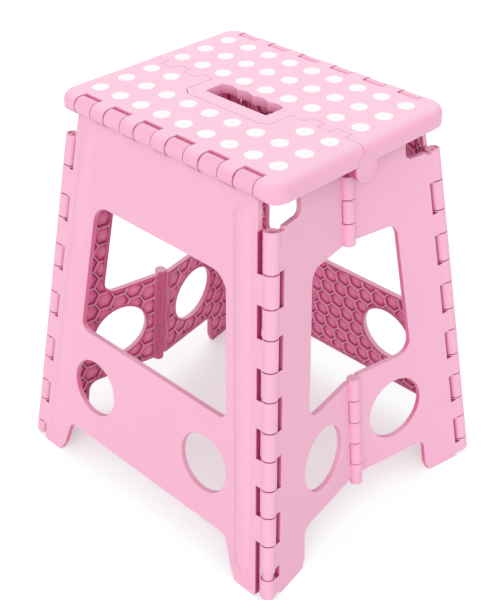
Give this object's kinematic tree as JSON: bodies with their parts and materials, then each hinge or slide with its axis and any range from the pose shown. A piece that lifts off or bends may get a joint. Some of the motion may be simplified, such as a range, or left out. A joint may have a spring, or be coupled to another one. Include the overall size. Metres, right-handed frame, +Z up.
{
  "type": "folding step stool",
  "caption": "Folding plastic step stool: hinged seat halves with a carrying slot and grip dots, pierced leg panels, and side leaves that fold inwards so it closes flat.",
  "frame": {"origin": "on the floor under the middle of the open seat", "axes": "+Z up; X along the seat's fold line; -Y towards the front panel, the one without the handle tongue"},
  "size_m": [0.3978, 0.3498, 0.4503],
  "materials": {
    "pink_plastic": "satin moulded polypropylene, soft pink",
    "white_dots": "smooth white grip inlay"
  },
  "bodies": {
    "rear_panel": {"rear_panel": "pink_plastic", "seat_edge_pin_rear": "pink_plastic"},
    "seat_rear": {"seat_rear_half": "pink_plastic", "grip_dots_rear": "white_dots", "seat_centre_pin_right": "pink_plastic"},
    "seat_front": {"seat_front_half": "pink_plastic", "grip_dots_front": "white_dots", "seat_centre_pin_left": "pink_plastic"},
    "front_panel": {"front_panel": "pink_plastic", "seat_edge_pin_front": "pink_plastic"},
    "right_rear_leaf": {"right_rear_leaf": "pink_plastic", "right_rear_corner_pin": "pink_plastic"},
    "left_rear_leaf": {"left_rear_leaf": "pink_plastic", "left_rear_corner_pin": "pink_plastic", "left_upper_side_pin": "pink_plastic", "left_lower_side_pin": "pink_plastic"},
    "right_front_leaf": {"right_front_leaf": "pink_plastic", "right_front_corner_pin": "pink_plastic", "right_upper_side_pin": "pink_plastic", "right_lower_side_pin": "pink_plastic"},
    "left_front_leaf": {"left_front_leaf": "pink_plastic", "left_front_corner_pin": "pink_plastic"}
  },
  "joints": [
    {"name": "rear_seat_hinge", "type": "hinge", "parent": "rear_panel", "child": "seat_rear", "pos_m": [0, 0.119, 0.44], "axis": [-1, 0, 0], "range_deg": [0, 82.86]},
    {"name": "seat_centre_hinge", "type": "hinge", "parent": "seat_rear", "child": "seat_front", "pos_m": [0, 0, 0.42547], "axis": [1, 0, 0], "range_deg": [0, 180.01]},
    {"name": "front_seat_hinge", "type": "hinge", "parent": "seat_front", "child": "front_panel", "pos_m": [0, -0.119, 0.44], "axis": [-1, 0, 0], "range_deg": [0, 82.87]},
    {"name": "right_rear_corner_hinge", "type": "hinge", "parent": "rear_panel", "child": "right_rear_leaf", "pos_m": [0.1917, 0.1677, 0], "axis": [0.1196, 0.1233, -0.9851], "range_deg": [0, 80.87]},
    {"name": "left_rear_corner_hinge", "type": "hinge", "parent": "rear_panel", "child": "left_rear_leaf", "pos_m": [-0.1917, 0.1677, 0], "axis": [0.1196, -0.1233, 0.9851], "range_deg": [0, 80.87]},
    {"name": "right_front_corner_hinge", "type": "hinge", "parent": "front_panel", "child": "right_front_leaf", "pos_m": [0.1917, -0.1677, 0], "axis": [-0.1196, 0.1233, 0.9851], "range_deg": [0, 80.87]},
    {"name": "left_front_corner_hinge", "type": "hinge", "parent": "front_panel", "child": "left_front_leaf", "pos_m": [-0.1917, -0.1677, 0], "axis": [-0.1196, -0.1233, -0.9851], "range_deg": [0, 80.87]}
  ],
  "couplings": [
    {"joint": "seat_centre_hinge", "follows": "rear_seat_hinge", "ratio": 2.1722},
    {"joint": "front_seat_hinge", "follows": "rear_seat_hinge", "ratio": 1},
    {"joint": "right_rear_corner_hinge", "follows": "rear_seat_hinge", "ratio": 0.97579},
    {"joint": "left_rear_corner_hinge", "follows": "rear_seat_hinge", "ratio": 0.97579},
    {"joint": "right_front_corner_hinge", "follows": "rear_seat_hinge", "ratio": 0.97579},
    {"joint": "left_front_corner_hinge", "follows": "rear_seat_hinge", "ratio": 0.97579}
  ]
}
